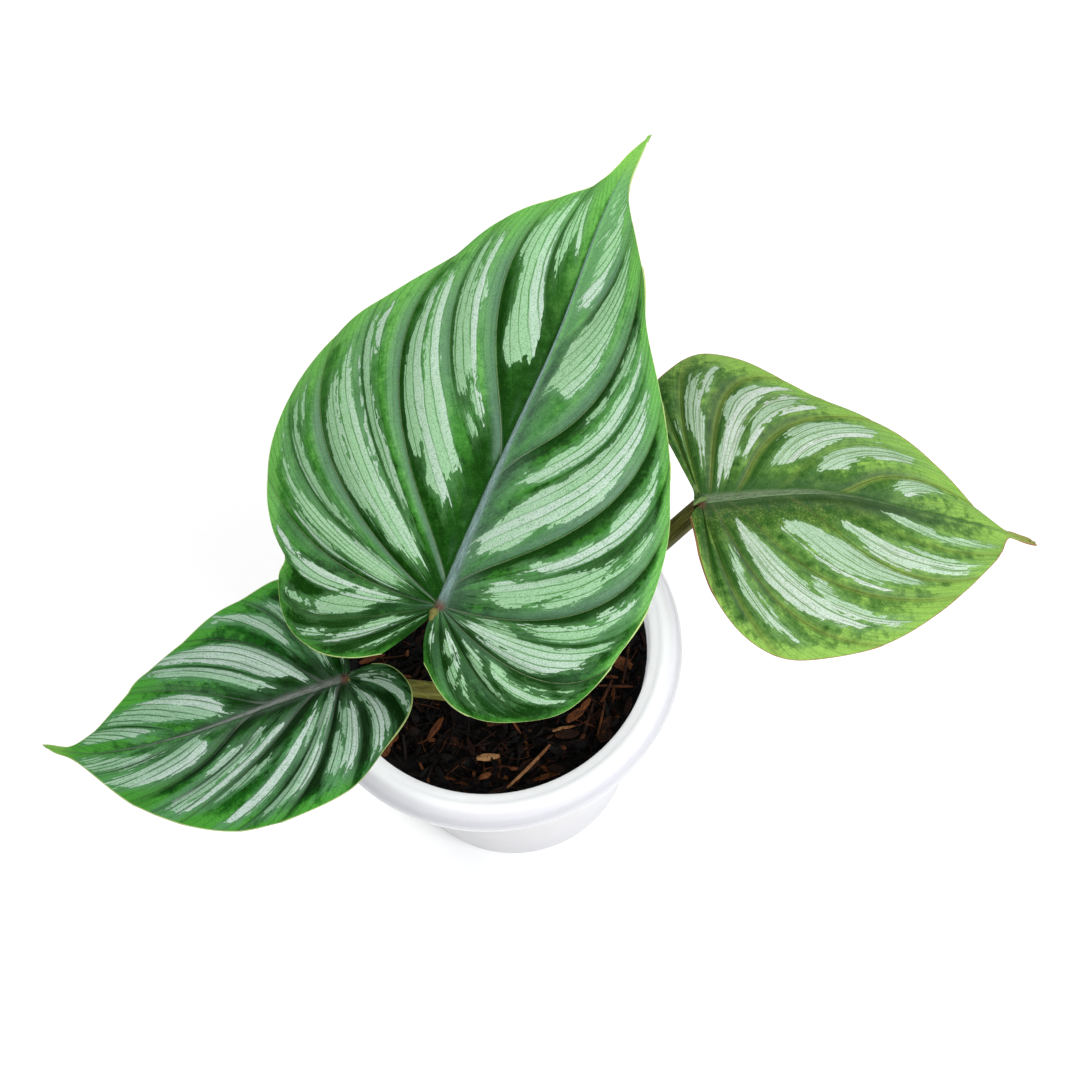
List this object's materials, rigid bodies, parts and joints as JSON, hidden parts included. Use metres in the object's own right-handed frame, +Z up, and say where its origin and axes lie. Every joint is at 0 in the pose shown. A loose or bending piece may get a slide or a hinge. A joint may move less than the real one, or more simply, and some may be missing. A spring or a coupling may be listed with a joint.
{
  "type": "potted philodendron",
  "caption": "Young climbing foliage plant with large silver-marked heart-shaped leaves on upright stalks, rooted in dark bark mix in a tapered white nursery pot with a rolled rim.",
  "frame": {"origin": "centre of the pot's flat base, on the surface that it stands on", "axes": "+Z up along the pot's axis; +X to the right and +Y away from the viewer in the picture's view, so the largest leaf reaches up and away and the two smaller ones to the right and left"},
  "size_m": [0.3136, 0.169, 0.1985],
  "materials": {
    "white_plastic": "satin",
    "dark_bark": "rough fibre",
    "olive_stem": "satin skin",
    "blade_large": "satin leaf, silver marked",
    "blade_right": "satin leaf, silver marked",
    "blade_left": "satin leaf, silver marked"
  },
  "bodies": {
    "root": {"pot": "white_plastic", "potting_mix": "dark_bark", "stem": "olive_stem", "stalk_large": "olive_stem", "stalk_right": "olive_stem", "stalk_left": "olive_stem", "leaf_large": "blade_large", "leaf_right": "blade_right", "leaf_left": "blade_left"}
  },
  "joints": []
}
